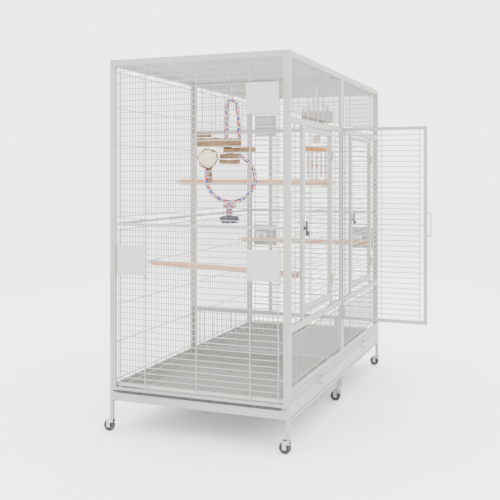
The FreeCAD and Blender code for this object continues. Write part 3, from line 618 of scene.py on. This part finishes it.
STAINS = [
    stained("stain_driftwood", (0.20, 0.18, 0.15)), stained("stain_orange", (0.50, 0.20, 0.04)),
    stained("stain_red", (0.36, 0.03, 0.05)), stained("stain_sage", (0.28, 0.42, 0.27)),
    stained("stain_pink", (0.52, 0.27, 0.27)), stained("stain_slate", (0.22, 0.23, 0.30)),
    stained("stain_natural", (0.50, 0.42, 0.31)),
]
PINK_CORD = twisted_yarn("pink_string", ((0.62, 0.24, 0.26), (0.52, 0.14, 0.17), (0.60, 0.33, 0.30)))


def soft_block(work, low, high, material, edge):
    """A block with rounded edges, between two corners in the toy's own directions."""
    corners = bmesh.ops.create_cube(work, size=1.0)["verts"]
    middle = [(a + b) / 2 for a, b in zip(low, high)]
    size = [b - a for a, b in zip(low, high)]
    for corner in corners:
        corner.co = hung(*(m + c * d for m, c, d in zip(middle, corner.co, size)))
    edges = list({e for corner in corners for e in corner.link_edges})
    made = bmesh.ops.bevel(work, geom=edges, offset=edge, segments=3, affect="EDGES", profile=0.6)
    touched = set(made["faces"]) | {f for v in made["verts"] for f in v.link_faces}
    for face in touched:
        face.material_index = material


BEAD = 0.018              # height of one bead under the cross bar
BEAD_STAINS = (3, 4, 6, 5, 4, 3, 1)


def fill_blocks(work, uv):
    """The driftwood block, the small one under it, the cross bar and five rows of beads."""
    soft_block(work, (-0.084, -0.026, 1.400), (0.084, 0.026, 1.462), 0, 0.005)
    soft_block(work, (-0.062, -0.022, 1.240), (0.062, 0.022, 1.274), 1, 0.004)
    soft_block(work, (-0.020, -0.020, 1.290), (0.020, 0.020, 1.330), 6, 0.004)
    for i in range(5):
        u = -0.048 + 0.024 * i
        z = 1.238
        low = 1.090 - 0.024 * (i % 3)
        k = i
        while z - BEAD - 0.001 > low:
            half = 0.0075 if (k + i) % 2 else 0.0045
            stain = BEAD_STAINS[(k * 3 + i) % len(BEAD_STAINS)]
            soft_block(work, (u - half, -half, z - BEAD - 0.001), (u + half, half, z - 0.001), stain, 0.002)
            z -= BEAD + 0.002
            k += 1


blocks = piece_from("stained_blocks", fill_blocks, STAINS, "block_toy", smooth=False)


def tube(work, uv, points, radius, material=0, sides=10):
    """A plain round wire through points, its rings square to its run."""
    rings = []
    for i, place in enumerate(points):
        heading = (points[min(i + 1, len(points) - 1)] - points[max(i - 1, 0)]).normalized()
        first = (THROUGH - heading * THROUGH.dot(heading)).normalized()
        second = heading.cross(first)
        rings.append(circle(place, first, second, radius, sides))
    loft(work, uv, rings, material=material)


WIRE_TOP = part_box("block_toy")[1].z - 0.002


def fill_hanger(work, uv):
    """The wire that holds the blocks, and the bar that it hangs from."""
    tube(work, uv, [hung(0.0, 0.0, z) for z in (1.222, 1.35, 1.5, WIRE_TOP)], 0.0018)
    tube(work, uv, [hung(u, 0.0, WIRE_TOP) for u in (-0.022, -0.01, 0.01, 0.022)], 0.002)


hanger = piece_from("block_hanger", fill_hanger, [FINISHES["bright_steel"]], "block_toy")


def fill_strings(work, uv):
    """Knotted string ends that stand up from the driftwood block and hang under it."""
    for i in range(14):
        u = -0.074 + 0.0114 * i
        v = -0.018 if i % 2 else 0.018
        lift = rng.uniform(0.020, 0.052)
        lean = rng.uniform(-0.010, 0.010)
        points = [hung(u, v, 1.460), hung(u + 0.2 * lean, v, 1.462 + 0.4 * lift),
                  hung(u + 0.6 * lean, v * 0.9, 1.462 + 0.8 * lift), hung(u + lean, v * 0.8, 1.462 + lift)]
        tube(work, uv, points, 0.0019, sides=8)
        drop = rng.uniform(0.035, 0.110)
        points = [hung(u, v, 1.402), hung(u - 0.3 * lean, v, 1.400 - 0.4 * drop),
                  hung(u - 0.6 * lean, v, 1.400 - 0.8 * drop), hung(u - lean, v, 1.400 - drop)]
        tube(work, uv, points, 0.0017, sides=8)


strings = piece_from("knotted_strings", fill_strings, [PINK_CORD], "block_toy")
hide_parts("block_toy")

# ------------------------------------------------------------------ painted slot shadow
# black rubber finish that paints the dark shadow in the slots under the end walls
SLOT_SHADOW_FINISH = black_rubber_and_shadow()
WALL_MIDDLE = 0.2         # the middle of the end walls, front to back
end_low, end_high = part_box("end_panel_left")
apron_low, apron_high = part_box("aprons")


def slot_shadow_strip(name, x):
    """Painted shadow: a black strip in the rubber finish, in the slot between an end wall and the apron
    under it.
    """
    low, high = apron_high.z - 0.002, end_low.z + 0.0015
    reach = 0.372

    def fill(work, uv):
        middle = (low + high) / 2
        radius = (high - low) / 2
        outline = []
        for end, start in ((1, -90), (-1, 90)):
            for angle in [math.radians(start + 15 * step) for step in range(13)]:
                outline.append((end * reach + math.cos(angle) * radius, middle + math.sin(angle) * radius))
        rings = [[Vector((x + dx, WALL_MIDDLE + y, z)) for y, z in outline] for dx in (-0.0012, 0.0012)]
        loft(work, uv, rings)

    return piece_from(name, fill, [SLOT_SHADOW_FINISH], "cage", smooth=False)


# a black strip at each end wall paints the shadow in its slot
slot_shadow_strip("slot_shadow_left", end_low.x - 0.0014)
slot_shadow_strip("slot_shadow_right", -end_low.x + 0.0014)

# ------------------------------------------------------------------ floor
floor_finish = Finish("studio_floor", 0.9)
floor_finish.colour(floor_finish.ramp(floor_finish.noise(0.4), (
    (0.3, (0.90, 0.90, 0.90)), (0.7, (0.92, 0.92, 0.92)))))
floor_mesh = bpy.data.meshes.new("floor")
work_floor = bmesh.new()
bmesh.ops.create_circle(work_floor, cap_ends=True, radius=40.0, segments=96)
work_floor.to_mesh(floor_mesh)
work_floor.free()
floor_mesh.materials.append(floor_finish.material)
floor = bpy.data.objects.new("floor", floor_mesh)
scene.collection.objects.link(floor)
